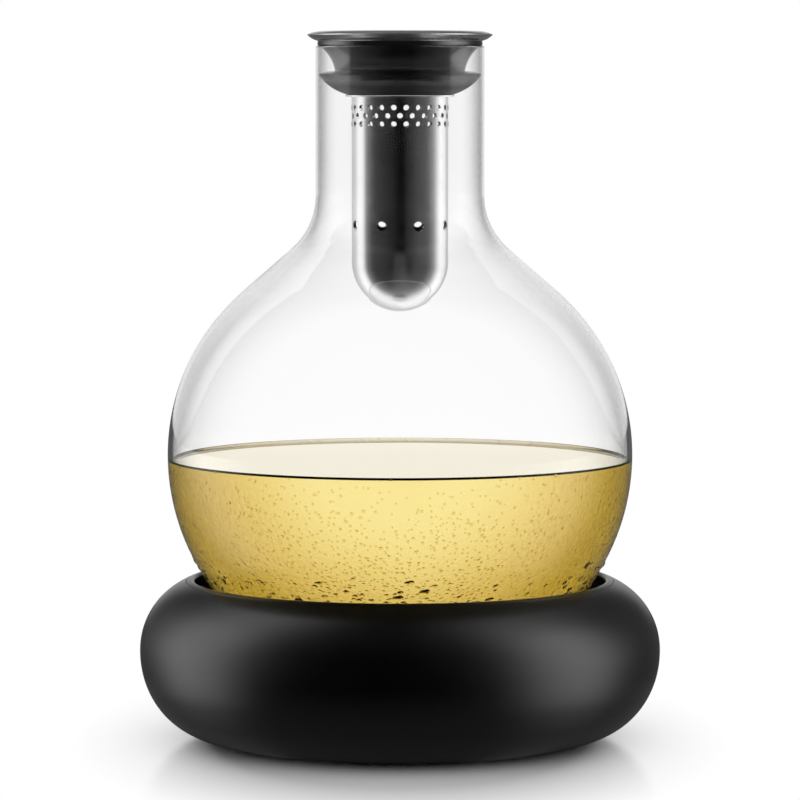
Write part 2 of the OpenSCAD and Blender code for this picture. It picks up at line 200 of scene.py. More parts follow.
def softened(corners, steps=5):
    """Closed outline whose corners (r, z, radius) are rounded; a corner (r, z) stays as it is."""
    points = []
    count = len(corners)
    # A rounding takes less than half of each side, so that it meets no other one
    longest = 0.49
    for i, corner in enumerate(corners):
        here = Vector(corner[:2])
        radius = corner[2] if len(corner) > 2 else 0
        before = Vector(corners[i - 1][:2]) - here
        after = Vector(corners[(i + 1) % count][:2]) - here
        if not radius:
            points.append(tuple(here))
            continue
        angle = before.angle(after)
        reach = min(radius / math.tan(angle / 2), before.length * longest, after.length * longest)
        radius = reach * math.tan(angle / 2)
        middle = (before.normalized() + after.normalized()).normalized()
        centre = here + middle * (radius / math.sin(angle / 2))
        first = here + before.normalized() * reach - centre
        last = here + after.normalized() * reach - centre
        turn = first.angle_signed(last)
        for k in range(steps + 1):
            t = -turn * k / steps
            spun = Vector((first.x * math.cos(t) - first.y * math.sin(t),
                           first.x * math.sin(t) + first.y * math.cos(t)))
            points.append(tuple(centre + spun))
    return points


def new_object(name, mesh):
    obj = bpy.data.objects.new(name, mesh)
    bpy.context.scene.collection.objects.link(obj)
    return obj


def mesh_object(name, bm, sharp=SHARP_ANGLE):
    """Smooth-shaded object from a bmesh in metres, with edges over an angle kept sharp."""
    bmesh.ops.recalc_face_normals(bm, faces=bm.faces)
    limit = math.radians(sharp)
    for face in bm.faces:
        face.smooth = True
    for edge in bm.edges:
        if len(edge.link_faces) == 2:
            edge.smooth = edge.calc_face_angle(0) < limit
    mesh = bpy.data.meshes.new(name)
    bm.to_mesh(mesh)
    bm.free()
    return new_object(name, mesh)


def turned_ring(bm, r, z, steps):
    """Ring of points at a radius and height in millimetres."""
    angles = [2 * math.pi * k / steps for k in range(steps)]
    return [bm.verts.new((r * MM * math.cos(t), r * MM * math.sin(t), z * MM)) for t in angles]


def turned(name, outline, steps=TURN_STEPS):
    """Solid turned round the vertical axis from a half outline; one that doesn't start and end
    on the axis is closed into a ring."""
    bm = bmesh.new()
    rings = []
    for r, z in outline:
        rings.append([bm.verts.new((0, 0, z * MM))] if r < AXIS_R else turned_ring(bm, r, z, steps))
    pairs = list(zip(rings, rings[1:]))
    if outline[0][0] >= AXIS_R or outline[-1][0] >= AXIS_R:
        pairs.append((rings[-1], rings[0]))
    for low, high in pairs:
        if len(low) == 1 and len(high) == 1:
            continue
        for k in range(steps):
            n = (k + 1) % steps
            if len(low) == 1:
                bm.faces.new((low[0], high[n], high[k]))
            elif len(high) == 1:
                bm.faces.new((low[k], low[n], high[0]))
            else:
                bm.faces.new((low[k], low[n], high[n], high[k]))
    return mesh_object(name, bm)


def dress(obj, body, slot, material, *nodes):
    """Gives a piece its material and body, and hides the CAD nodes that it stands for; the slot is not used.
    """
    obj.data.materials.clear()
    obj.data.materials.append(material)
    if nodes:
        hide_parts(*nodes)
    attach(obj, body)


class Nodes:
    """A node tree whose steps are added one by one."""

    def __init__(self, tree):
        self.tree = tree

    def link(self, source, target):
        self.tree.links.new(source, target)

    def add(self, kind, sockets=None, **settings):
        """New node with its settings; the sockets map its inputs to plain values or to links."""
        made = self.tree.nodes.new(kind)
        for key, value in settings.items():
            setattr(made, key, value)
        for label, value in (sockets or {}).items():
            if isinstance(value, bpy.types.NodeSocket):
                self.link(value, made.inputs[label])
            else:
                made.inputs[label].default_value = value
        return made

    def math(self, operation, *values, clamp=False):
        """Result of a sum on sockets and plain numbers."""
        made = self.add("ShaderNodeMath", dict(enumerate(values)), operation=operation, use_clamp=clamp)
        return made.outputs["Value"]

    def product(self, a, b):
        return self.math("MULTIPLY", a, b)

    def ranged(self, value, start, end, low, high, **settings):
        """Maps a value from start..end to low..high; each of these is a socket or a number."""
        sockets = {"Value": value, "From Min": start, "From Max": end, "To Min": low, "To Max": high}
        return self.add("ShaderNodeMapRange", sockets, **settings).outputs["Result"]

    def mixed(self, share, first, second, kind="FLOAT"):
        """Mixes two numbers by a share, or two colours where the kind is RGBA."""
        sockets = {"Factor": share, "A": first, "B": second}
        return self.add("ShaderNodeMix", sockets, data_type=kind).outputs["Result"]

    def ramp(self, source, stops):
        """Colour by a value, from stops of a place and a colour."""
        made = self.add("ShaderNodeValToRGB", {"Fac": source})
        elements = made.color_ramp.elements
        while len(elements) < len(stops):
            elements.new(0.5)
        for element, (place, color) in zip(elements, stops):
            element.position = place
            element.color = (*color, 1)
        return made.outputs["Color"]

    def parts(self, vector):
        """X, Y and Z of a place or direction."""
        return self.add("ShaderNodeSeparateXYZ", {"Vector": vector}).outputs

    def light_path(self):
        return self.add("ShaderNodeLightPath").outputs


def greys(stops):
    """Stops of a place and a brightness as stops of a place and a colour."""
    return [(place, (value,) * 3) for place, value in stops]


# Materials

# Most values of a noise texture lie between these
NOISE_LOW = 0.3
NOISE_HIGH = 0.7


class Finish(Nodes):
    """A Principled material whose colour, roughness and relief come from nodes."""

    def __init__(self, name):
        self.material = bpy.data.materials.new(name)
        self.material.use_nodes = True
        super().__init__(self.material.node_tree)
        self.shader = self.tree.nodes["Principled BSDF"]
        self.output = self.tree.nodes["Material Output"]
        self.place = self.add("ShaderNodeTexCoord").outputs["Object"]

    def set(self, **values):
        """Sets the shader's own sockets; a name's underscores stand for spaces."""
        for key, value in values.items():
            self.shader.inputs[key.replace("_", " ")].default_value = value

    def drive(self, label, source):
        """Links one of the shader's own sockets."""
        self.link(source, self.shader.inputs[label])

    def stretched(self, scale):
        """Object coordinates with a scale of their own along each axis."""
        return self.add("ShaderNodeMapping", {"Scale": scale, "Vector": self.place}).outputs["Vector"]

    def noise(self, scale, detail=3, roughness=0.5, place=None):
        sockets = {"Scale": scale, "Detail": detail, "Roughness": roughness, "Vector": place or self.place}
        return self.add("ShaderNodeTexNoise", sockets).outputs["Fac"]

    def spread(self, source, low, high, start=NOISE_LOW, end=NOISE_HIGH):
        """Maps a texture's value from start..end to low..high."""
        return self.ranged(source, start, end, low, high)

    def tint(self, source, dark, light):
        """Colour that runs from dark to light with a texture."""
        self.drive("Base Color", self.ramp(source, ((NOISE_LOW, dark), (NOISE_HIGH, light))))

    def rough(self, source, low, high):
        self.drive("Roughness", self.spread(source, low, high))

    def relief(self, height, depth_mm, strength=1.0, under=None):
        """Bump of a depth in millimetres; under is a relief that this one lies on."""
        sockets = {"Strength": strength, "Distance": depth_mm * MM, "Height": height}
        if under:
            sockets["Normal"] = under
        normal = self.add("ShaderNodeBump", sockets).outputs["Normal"]
        self.drive("Normal", normal)
        return normal

    def facing(self):
        """0 where a surface is seen straight on, 1 where it is seen along it."""
        return self.add("ShaderNodeLayerWeight", {"Blend": 0.5}).outputs["Facing"]

    def height(self):
        return self.parts(self.place)["Z"]

    def height_mask(self, low, low_full, high_full, high):
        """1 between two heights in millimetres, fading to 0 outside them."""
        z = self.height()
        rise = self.spread(z, 0, 1, low * MM, low_full * MM)
        fall = self.spread(z, 1, 0, high_full * MM, high * MM)
        return self.product(rise, fall)

    def absorb(self, color, density):
        """Fills the piece with a clear medium that takes light away with depth."""
        volume = self.add("ShaderNodeVolumeAbsorption", {"Color": (*color, 1), "Density": density})
        self.link(volume.outputs["Volume"], self.output.inputs["Volume"])


# The straight neck mirrors as plain glass does, the thin globe less
NECK_SHEEN_LOW = 150
NECK_SHEEN_HIGH = 185
GLOBE_SHEEN = 0.12
# Tint of the glass, from seen straight on to seen along it: greyer towards the outline, partly for the
# longer way through the wall and partly as painted shade
GLOBE_DEPTH_AND_SHADE = ((0.6, 1), (0.8, 0.82))
NECK_DEPTH_AND_SHADE = ((0.2, 1), (0.34, 0.965), (0.46, 0.92), (0.54, 0.87), (0.63, 0.72))
# Height of the glass that is dim with fine condensation: start and full strength
MIST_LOW = 44
MIST_FULL = 50


def clear_glass():
    """Blown glass: faint ripples all over, and a mist of condensation over the cold wine."""
    f = Finish("clear_glass")
    f.set(Transmission_Weight=1, IOR=1.5, Roughness=0)
    sheen = f.spread(f.height(), 0, 1, NECK_SHEEN_LOW * MM, NECK_SHEEN_HIGH * MM)
    f.drive("Specular Tint", f.ramp(sheen, greys(((0, GLOBE_SHEEN), (1, 1)))))
    # The neck's wall looks thicker towards its outline than the globe's and is tinted greyer there, partly
    # as painted shade
    globe = f.ramp(f.facing(), greys(GLOBE_DEPTH_AND_SHADE))
    neck = f.ramp(f.facing(), greys(NECK_DEPTH_AND_SHADE))
    f.drive("Base Color", f.mixed(sheen, globe, neck, "RGBA"))
    ripples = f.relief(f.noise(scale=22, detail=1), depth_mm=0.05, strength=0.5)
    cold = f.height_mask(MIST_LOW, MIST_FULL, WINE_TOP - 2, WINE_TOP + 0.5)
    mist = f.product(f.noise(scale=700, detail=3, roughness=0.6), cold)
    f.relief(mist, depth_mm=0.09, under=ripples)
    f.absorb((0.75, 0.75, 0.75), density=4)
    return f.material


# Tint of the wine's skin by how far it turns away: clear, then ever deeper, partly for the longer way
# through the wine and partly as painted shade, then a painted bright golden band, and beige from there on
WINE_DEPTH_AND_PAINTED_LIGHT = ((0.02, (1.0, 1.0, 1.0)), (0.05, (0.94, 0.89, 0.77)), (0.08, (0.85, 0.735, 0.49)),
               (0.12, (0.68, 0.53, 0.24)), (0.16, (0.56, 0.42, 0.13)), (0.20, (0.44, 0.32, 0.045)),
               (0.225, (0.43, 0.305, 0.036)), (0.235, (0.50, 0.35, 0.035)), (0.245, (0.78, 0.53, 0.058)),
               (0.256, (1.0, 0.78, 0.082)), (0.275, (0.9, 0.72, 0.2)), (0.32, (0.55, 0.49, 0.36)))
# Colour of the painted reflection's sheen where the surface is made a mirror, and of its sheen where it is
# clear
WINE_SURFACE = (0.97, 0.915, 0.75)
WINE_SHEEN = (0.3, 0.3, 0.3)
# From this facing on the level surface starts to be made a mirror, a painted reflection, and is one in full
MIRROR_START = 0.79
MIRROR_FULL = 0.885
MIRROR_SHARE = 0.95
BLURRED = 0.25


def white_wine():
    """Clear golden wine that takes light away with depth, tinted deeper towards its outline, partly as
    painted shade and with a painted bright band.
    """
    f = Finish("white_wine")
    f.set(Transmission_Weight=1, IOR=1.34)
    f.relief(f.noise(scale=60, detail=1), depth_mm=0.01, strength=0.3)
    facing = f.facing()
    # A painted reflection: seen at a flat angle from above, and in the steel over it, the wine's surface is
    # made a white mirror
    light = f.light_path()
    satin = f.math("SUBTRACT", light["Is Glossy Ray"], light["Is Singular Ray"], clamp=True)
    top = f.spread(f.height(), 0, 1, (WINE_TOP - 0.1) * MM, (WINE_TOP - 0.02) * MM)
    flat = f.product(top, f.spread(facing, 0, MIRROR_SHARE, MIRROR_START, MIRROR_FULL))
    back = f.add("ShaderNodeNewGeometry").outputs["Backfacing"]
    mirror = f.product(f.math("MAXIMUM", satin, flat), f.math("SUBTRACT", 1, back))
    f.drive("Metallic", mirror)
    f.drive("Base Color", f.mixed(mirror, f.ramp(facing, WINE_DEPTH_AND_PAINTED_LIGHT), (1, 1, 1, 1), "RGBA"))
    f.drive("Specular Tint", f.mixed(mirror, (*WINE_SHEEN, 1), (*WINE_SURFACE, 1), "RGBA"))
    # In the steel the wine is only seen blurred
    f.drive("Roughness", f.product(satin, BLURRED))
    f.absorb((1.0, 0.90, 0.37), density=12)
    return f.material


def water():
    """Drops of clear water with a golden tint."""
    f = Finish("condensation_water")
    f.set(Transmission_Weight=1, IOR=1.33, Roughness=0, Base_Color=(0.95, 0.88, 0.62, 1))
    f.relief(f.noise(scale=700, detail=1), depth_mm=0.02, strength=0.3)
    return f.material


def polished_steel():
    """Drawn and polished tube: very fine lines round it and faint cloudy wear."""
    f = Finish("polished_steel")
    f.set(Metallic=1)
    lines = f.noise(scale=1, detail=2, place=f.stretched((60, 60, 9000)))
    clouds = f.noise(scale=90)
    f.tint(clouds, (0.74, 0.74, 0.75), (0.80, 0.80, 0.81))
    f.rough(clouds, 0.05, 0.09)
    f.relief(lines, depth_mm=0.002, strength=0.3)
    return f.material


def satin_steel():
    """Turned pouring lip: fine rings from the lathe under a satin polish."""
    f = Finish("satin_steel")
    f.set(Metallic=0.93)
    rings = f.noise(scale=1, detail=2, roughness=0.6, place=f.stretched((40, 40, 14000)))
    clouds = f.noise(scale=120)
    f.tint(clouds, (0.50, 0.50, 0.51), (0.62, 0.62, 0.63))
    f.rough(clouds, 0.18, 0.28)
    f.relief(rings, depth_mm=0.004, strength=0.4)
    return f.material


# Roughness of the seal's rings, how many times it is added on the underside, and the heights over
# the seal's foot between which the one passes into the other
RING_ROUGHNESS = 0.08
UNDERSIDE_ROUGHER = 7
UNDERSIDE_TOP = 2.5
RING_LOW = 5.5


def seal_silicone():
    """Black silicone with a little dust in its grain."""
    f = Finish("seal_silicone")
    f.set(Specular_IOR_Level=0.9)
    dust = f.noise(scale=260, detail=5, roughness=0.6)
    f.tint(dust, (0.006, 0.006, 0.006), (0.008, 0.008, 0.0081))
    # Satin on the underside, smooth where the rings touch the glass
    underside = f.spread(f.height(), 1, 0, (SEAL_LOW + UNDERSIDE_TOP) * MM, (SEAL_LOW + RING_LOW) * MM)
    worn = f.math("MULTIPLY_ADD", underside, UNDERSIDE_ROUGHER, f.spread(dust, 0.8, 1.2))
    f.drive("Roughness", f.product(worn, RING_ROUGHNESS))
    f.relief(f.noise(scale=2400, detail=2), depth_mm=0.01, strength=0.4)
    return f.material


def soft_touch(name, dark, light):
    """Soft-touch lacquer: a very fine grain that only breaks up the highlight."""
    f = Finish(name)
    f.set(Specular_IOR_Level=0.5)
    grain = f.noise(scale=5200, detail=2, roughness=0.6)
    clouds = f.noise(scale=38)
    f.tint(clouds, (dark,) * 3, (light,) * 3)
    f.rough(clouds, 0.28, 0.33)
    f.relief(grain, depth_mm=0.012, strength=0.35)
    return f.material


def moulded(name, dark, light, roughness=(0.42, 0.6), grain_scale=1700, grain=0.02):
    """Moulded plastic or rubber with an eroded grain."""
    f = Finish(name)
    cloud = f.noise(scale=70, detail=4)
    f.tint(cloud, dark, light)
    f.rough(cloud, *roughness)
    f.relief(f.noise(grain_scale, detail=3, roughness=0.65), grain, strength=0.6)
    return f.material


# Outlines

def carafe_side(a, crown, belly, low_angle, neck, bend):
    """Globe from its lower end, shoulder and neck."""
    t = math.degrees(math.atan(math.tan(math.radians(SHOULDER_LEAN)) * crown / a))
    lean = math.radians(SHOULDER_LEAN)
    join_r = a * math.cos(math.radians(t))
    join_z = GLOBE_Z + crown * math.sin(math.radians(t)) + (join_r - neck) / math.tan(lean)
    bend_z = join_z + bend * math.tan(lean / 2)
    return (ellipse(0, GLOBE_Z, a, belly, low_angle, 0, BELLY_STEPS)
            + ellipse(0, GLOBE_Z, a, crown, t / BELLY_STEPS, t)
            + ellipse(neck + bend, bend_z, bend, bend, 180 + SHOULDER_LEAN, 180, 20))


def glass_outline():
    """Wall of the carafe, from the punt under its foot up the outside and down the inside."""
    outer = carafe_side(GLOBE_R, CROWN_H, BELLY_H, -math.degrees(math.asin(FOOT_DROP / BELLY_H)),
                        NECK_R, SHOULDER_BEND)
    inner = carafe_side(GLOBE_R - GLOBE_WALL, CROWN_H - GLOBE_WALL, FOOT_DROP - FOOT_WALL, -90,
                        NECK_IN_R, SHOULDER_BEND + GLOBE_WALL)
    edge = NECK_WALL / 2
    mouth = ellipse(NECK_R - edge, GLASS_TOP - edge, edge, edge, 0, 180, 10)
    rings = [*NECK_RINGS, *(GLASS_TOP - edge - depth for depth in RIM_RINGS)]
    return (ellipse(0, FOOT_Z, PUNT_R, PUNT_H, 90, 0, 12) + outer
            + [(NECK_R, z) for z in rings] + mouth
            + [(NECK_IN_R, z) for z in reversed(rings)] + inner[::-1])


def wine_outline():
    """Wine that wets the glass, with a surface that climbs at the wall."""
    a = GLOBE_R - GLOBE_WALL + WINE_SINK
    b = FOOT_DROP - FOOT_WALL + WINE_SINK
    top = WINE_TOP + MENISCUS_H
    edge_angle = math.degrees(math.asin((top - GLOBE_Z) / b))
    points = ellipse(0, GLOBE_Z, a, b, -90, edge_angle, 90)
    for i in range(1, MENISCUS_STEPS + 1):
        away = MENISCUS_W * i / MENISCUS_STEPS
        rise = MENISCUS_H * (1 - i / MENISCUS_STEPS) ** MENISCUS_POWER
        points.append((a - WINE_SINK - away, WINE_TOP + rise))
    return points + [(r, WINE_TOP) for r in (*SURFACE_RINGS, 0)]


def bulge_point(inset, angle):
    """Point of the bowl's bulge, drawn in by an inset."""
    t = math.radians(angle)
    b = (BULGE_Z - BOWL_LOW if angle < 0 else BULGE_TOP) - inset
    c, s = math.cos(t), math.sin(t)
    r = BULGE_START_R + (BOWL_R - BULGE_START_R - inset) * abs(c) ** (2 / BULGE_POWER)
    return r, BULGE_Z + b * math.copysign(abs(s) ** (2 / BULGE_POWER), s)


def bulge_height(r):
    """Height of the bulge's upper side at a radius."""
    share = ((r - BULGE_START_R) / (BOWL_R - BULGE_START_R)) ** BULGE_POWER
    return BULGE_Z + BULGE_TOP * (1 - share) ** (1 / BULGE_POWER)


def shell_outline():
    """Outer skin from the base plate up to the seam with the rim, and back inside."""
    rim_z = bulge_height(RIM_R)
    angles = [-90 + 180 * i / BULGE_STEPS for i in range(BULGE_STEPS + 1)]
    outside = [(r, z) for r, z in (bulge_point(0, angle) for angle in angles)
               if r > PLATE_R + 2 * FIT_GAP and (z < BULGE_Z or r > RIM_R + SEAM_CLEAR)]
    inside = [(r, z) for r, z in (bulge_point(SHELL_WALL, -angle) for angle in angles)
              if PLATE_LOW + INSIDE_CLEAR < z < rim_z - INSIDE_CLEAR]
    opening = PLATE_R + FIT_GAP
    start = [(opening, PLATE_TOP), (opening, PLATE_LOW + SHELL_EDGE_H), (PLATE_R + SHELL_EDGE_W, PLATE_LOW)]
    seam = RIM_R + SEAM_GAP
    liner = MOUTH_R + LINER_WALL + FIT_GAP
    top = [(seam + RIM_EDGE_W, rim_z - SEAM_DIP), (seam, rim_z - RIM_EDGE_H), (seam, rim_z - RIM_T),
           (liner, rim_z - RIM_T), (liner, rim_z - 2.8)]
    end = [(PLATE_R - SHELL_WALL, PLATE_LOW + SHELL_WALL), (PLATE_R - SHELL_WALL, PLATE_TOP)]
    return start + outside + top + inside + end


def liner_outline():
    """Inner bowl with the rolled rim that covers the top of the shell."""
    rim_z = bulge_height(RIM_R)
    corner = MOUTH_R + RIM_ROUND
    top = [(r, bulge_height(r)) for r in (RIM_R - RIM_EDGE_W, RIM_R - 0.9, corner + 0.4)]
    outer = WELL_R + LINER_WALL
    return ([(0, LINER_LOW), (outer - LINER_BEND, LINER_LOW), (outer, LINER_LOW + LINER_BEND),
             (MOUTH_R + LINER_WALL, rim_z - RIM_T), (RIM_R, rim_z - RIM_T), (RIM_R, rim_z - RIM_EDGE_H)]
            + top
            + ellipse(corner, bulge_height(corner) - RIM_ROUND, RIM_ROUND, RIM_ROUND, 98, 180, 12)
            + [(WELL_R, CORE_LOW + 0.01), (0, CORE_LOW)])


def funnel_outside(gap):
    """Outside of the lip's funnel, or the seal's taper round it at a gap."""
    a = FUNNEL_A - FUNNEL_T - gap
    b = FUNNEL_B - FUNNEL_T - gap
    top = math.degrees(math.asin((SEAL_TOP - FUNNEL_Z) / b))
    return ellipse(FUNNEL_C, FUNNEL_Z, a, b, 180 - top, 180, 20)


def seal_outline():
    """Ring on the glass rim, hollow taper, waist and the lower fin that wipes the neck."""
    fin_r = NECK_IN_R - FIN_GAP
    fin_z = GLASS_TOP - FIN_DEPTH
    waist_z = GLASS_TOP - WAIST_DEPTH
    ring_z = GLASS_TOP + 0.02
    ring = softened([(fin_r + 0.01, ring_z), (SEAL_R, ring_z, 0.35),
                     (SEAL_R, SEAL_TOP, 0.25), (SEAL_BORE_R + SEAL_RING_W, SEAL_TOP)])
    return ([(SEAL_BORE_R, SEAL_LOW), (SEAL_FOOT_R, SEAL_LOW)]
            + bulged((SEAL_FOOT_R + 0.3, SEAL_LOW + 0.05), (fin_r, fin_z - FIN_TIP), FIN_BULGE, 24)
            + bulged((fin_r, fin_z), (WAIST_R + 0.2, waist_z), 0.25, 12)
            + bulged((WAIST_R, waist_z + 0.25), (fin_r, GLASS_TOP), -FIN_BULGE, 24)
            + ring[:-1]
            + funnel_outside(FIT_GAP))


def lip_outline():
    """Funnel, rolled bead and the thin drip edge round it."""
    bead = ellipse(BEAD_R - BEAD_W / 2, LIP_TOP - BEAD_DIP, BEAD_W / 2, BEAD_DIP, 180, 40, 12)
    end_r = LIP_R - 0.2
    top = bulged((BEAD_R - 0.1, LIP_TOP - 0.15), (end_r, LIP_EDGE_Z), -0.16, 14)
    edge = ellipse(LIP_R - LIP_EDGE_W, LIP_EDGE_Z - LIP_EDGE_T / 2, LIP_EDGE_W, LIP_EDGE_T / 2, 80, -80, 8)
    under = bulged((end_r, LIP_EDGE_Z - LIP_EDGE_T), (LIP_COLLAR_R + 0.1, SEAL_TOP + 0.25), -0.25, 14)
    return ([(SPOUT_R - FUNNEL_T, SPOUT_LOW)]
            + ellipse(FUNNEL_C, FUNNEL_Z, FUNNEL_A, FUNNEL_B, 180, 180 - FUNNEL_SWEEP, 32)[:-1]
            + bead + top + edge + under
            + [(LIP_COLLAR_R, SEAL_TOP + 0.12), (LIP_COLLAR_R - 0.1, SEAL_TOP)]
            + funnel_outside(0) + [(SPOUT_R, SPOUT_LOW)])


def tube_outline():
    """Straight tube with a half round end, before its holes are cut."""
    inner = TUBE_R - TUBE_WALL
    rings = [DOME_Z + rise for rise in LOW_RINGS]
    z = DOME_Z + EVEN_RINGS
    while z < TUBE_TOP - 1:
        rings.append(z)
        z += RING_PITCH
    edge_z = TUBE_TOP - TUBE_EDGE
    return (ellipse(0, DOME_Z, TUBE_R, TUBE_R, -90, 0, 30)
            + [(TUBE_R, z) for z in rings]
            + [(TUBE_R, edge_z), (TUBE_R - TUBE_EDGE, TUBE_TOP)]
            + [(inner + TUBE_EDGE, TUBE_TOP), (inner, edge_z)]
            + [(inner, z) for z in rings[::-1]]
            + ellipse(0, DOME_Z, inner, inner, 0, -90, 30))


# Main pieces

carafe = turned("carafe_glass", glass_outline(), FINE_TURN_STEPS)
dress(carafe, "carafe", "clear_glass", clear_glass(), "glass_carafe")

wine = turned("wine_fill", wine_outline(), FINE_TURN_STEPS)
dress(wine, "carafe", "white_wine", white_wine(), "wine")

shell = turned("bowl_shell", shell_outline(), FINE_TURN_STEPS)
dress(shell, "cooling_bowl", "soft_touch_black", soft_touch("soft_touch_black", 0.0006, 0.0012),
      "cooler_shell")

liner = turned("bowl_liner", liner_outline(), FINE_TURN_STEPS)
dress(liner, "cooling_bowl", "bowl_black", soft_touch("bowl_black", 0.0007, 0.0014), "inner_bowl")

seal = turned("seal_rings", seal_outline())
dress(seal, "pouring_insert", "seal_silicone", seal_silicone(), "neck_seal")

lip = turned("steel_lip", lip_outline())
dress(lip, "pouring_insert", "lip_steel", satin_steel(), "pouring_lip")

tube = turned("tube_blank", tube_outline(), TUBE_TURN_STEPS)

collar_in_r = TUBE_R + 0.05
collar = turned("steel_collar", softened([
    (collar_in_r, COLLAR_LOW, 0.1), (COLLAR_R, COLLAR_LOW, 0.3),
    (COLLAR_R, COLLAR_TOP, 0.2), (collar_in_r, COLLAR_TOP, 0.05)]))
TUBE_STEEL = polished_steel()
dress(collar, "aerator", "collar_steel", TUBE_STEEL, "tube_collar")


# Geometry node trees

class Tree(Nodes):
    """A node tree on an object, which is made a plain mesh at its end."""

    def __init__(self, name, inputs):
        """The named inputs come as a mapping from label to socket type."""
        super().__init__(bpy.data.node_groups.new(name, "GeometryNodeTree"))
        face = self.tree.interface
        face.new_socket("Geometry", in_out="INPUT", socket_type="NodeSocketGeometry")
        self.keys = {}
        for label, kind in inputs.items():
            made = face.new_socket(label, in_out="INPUT", socket_type="NodeSocket" + kind)
            self.keys[label] = made.identifier
        face.new_socket("Geometry", in_out="OUTPUT", socket_type="NodeSocketGeometry")
        self.inputs = self.add("NodeGroupInput").outputs
        self.outputs = self.add("NodeGroupOutput").inputs

    def vector(self, **parts):
        """Vector from the parts that are given; the others stay 0."""
        return self.add("ShaderNodeCombineXYZ", parts).outputs["Vector"]

    def finish(self, geometry, material):
        """Ends the tree in real geometry with its material."""
        realized = self.add("GeometryNodeRealizeInstances", {"Geometry": geometry}).outputs["Geometry"]
        painted = self.add("GeometryNodeSetMaterial", {"Geometry": realized, "Material": material})
        self.link(painted.outputs["Geometry"], self.outputs["Geometry"])

    def plain_mesh(self, name, start, values):
        """Evaluates the tree on a starting object and returns the result as a new object."""
        modifier = start.modifiers.new(name, "NODES")
        modifier.node_group = self.tree
        for label, value in values.items():
            modifier[self.keys[label]] = value
        graph = bpy.context.evaluated_depsgraph_get()
        mesh = bpy.data.meshes.new_from_object(start.evaluated_get(graph))
        mesh.name = name
        start.modifiers.remove(modifier)
        return new_object(name, mesh)


HOLE_SIDES = 28
SMALL_HOLE_ROWS = 3
HOLE_SIZES = {
    "Tube radius": ("Float", TUBE_R * MM),
    "Tube wall": ("Float", TUBE_WALL * MM),
    "Seal height": ("Float", SEAL_LOW * MM),
    "Small holes in a row": ("Int", 24),
    "Small hole radius": ("Float", 0.95 * MM),
    "First row below the seal": ("Float", 4.1 * MM),
    "Row pitch": ("Float", 2.6 * MM),
    "Large holes": ("Int", 8),
    "Large hole radius": ("Float", 1.7 * MM),
    "Large holes below the seal": ("Float", 42 * MM),
}


def hole_ring(tree, count, radius, height, turn):
    """Cutters through the tube's wall: a ring of rods that point outwards at one height."""
    circle = tree.add("GeometryNodeMeshCircle", {"Vertices": count, "Radius": tree.inputs["Tube radius"]})
    length = tree.product(tree.inputs["Tube wall"], 3)
    rod = tree.add("GeometryNodeMeshCylinder", {"Vertices": HOLE_SIDES, "Radius": radius, "Depth": length})
    place = tree.add("GeometryNodeInputPosition").outputs["Position"]
    aim = tree.add("FunctionNodeAlignRotationToVector", {"Vector": place}, axis="Z")
    rods = tree.add("GeometryNodeInstanceOnPoints", {
        "Points": circle.outputs["Mesh"], "Instance": rod.outputs["Mesh"],
        "Rotation": aim.outputs["Rotation"]})
    moved = tree.add("GeometryNodeTransform", {
        "Geometry": rods.outputs["Instances"], "Translation": tree.vector(Z=height),
        "Rotation": tree.vector(Z=turn)})
    return moved.outputs["Geometry"]


def perforated(blank):
    """Cuts the rings of holes into the tube."""
    tree = Tree("tube_perforations", {label: kind for label, (kind, value) in HOLE_SIZES.items()})
    size = tree.inputs
    cutters = tree.add("GeometryNodeJoinGeometry")

    def ring(count, radius, depth, half_step):
        # With no half step, a hole faces the front
        step = tree.math("DIVIDE", math.pi * half_step, count)
        height = tree.math("SUBTRACT", size["Seal height"], depth)
        made = hole_ring(tree, count, radius, height, tree.math("ADD", step, math.pi / 2))
        tree.link(made, cutters.inputs["Geometry"])

    for row in range(SMALL_HOLE_ROWS):
        below = tree.math("MULTIPLY_ADD", size["Row pitch"], row, size["First row below the seal"])
        ring(size["Small holes in a row"], size["Small hole radius"], below, (row + 1) % 2)
    ring(size["Large holes"], size["Large hole radius"], size["Large holes below the seal"], 1)
    rods = tree.add("GeometryNodeRealizeInstances", {"Geometry": cutters.outputs["Geometry"]})
    cut = tree.add("GeometryNodeMeshBoolean", {
        "Mesh 1": size["Geometry"], "Mesh 2": rods.outputs["Geometry"]},
        operation="DIFFERENCE", solver="EXACT")
    tree.finish(cut.outputs["Mesh"], TUBE_STEEL)
    values = {label: value for label, (kind, value) in HOLE_SIZES.items()}
    return tree.plain_mesh("steel_tube", blank, values)


def set_tube_normals(obj):
    """True normals of the tube's curved skins, so that its reflections stay clean at the holes."""
    mesh = obj.data
    mesh.polygons.foreach_set("use_smooth", [True] * len(mesh.polygons))
    dome_z = DOME_Z * MM
    dome = Vector((0, 0, dome_z))
    # Faces that lie closer to the skin's direction than this belong to the skin
    along_skin = 0.9
    normals = []
    for face in mesh.polygons:
        for index in face.vertices:
            point = mesh.vertices[index].co
            if point.z < dome_z:
                out = (point - dome).normalized()
            else:
                out = Vector((point.x, point.y, 0)).normalized()
            facing = face.normal.dot(out)
            if facing > along_skin:
                normals.append(out)
            elif facing < -along_skin:
                normals.append(-out)
            else:
                normals.append(face.normal.copy())
    mesh.normals_split_custom_set(normals)


steel_tube = perforated(tube)
bpy.data.objects.remove(tube)
set_tube_normals(steel_tube)
dress(steel_tube, "aerator", "tube_steel", TUBE_STEEL, "aerator_tube")


# Condensation

# A drop's base dips this far below the surface, for a radius of 1
DROP_SINK = 0.12
DROP_SHARP_ANGLE = 80
DROP_SIZES = {
    "Shape": "Object",
    "Drops per square metre": "Float",
    "Smallest radius": "Float",
    "Largest radius": "Float",
    "Longest stretch": "Float",
    "Dense below": "Float",
    "None above": "Float",
    "Seed": "Int",
}
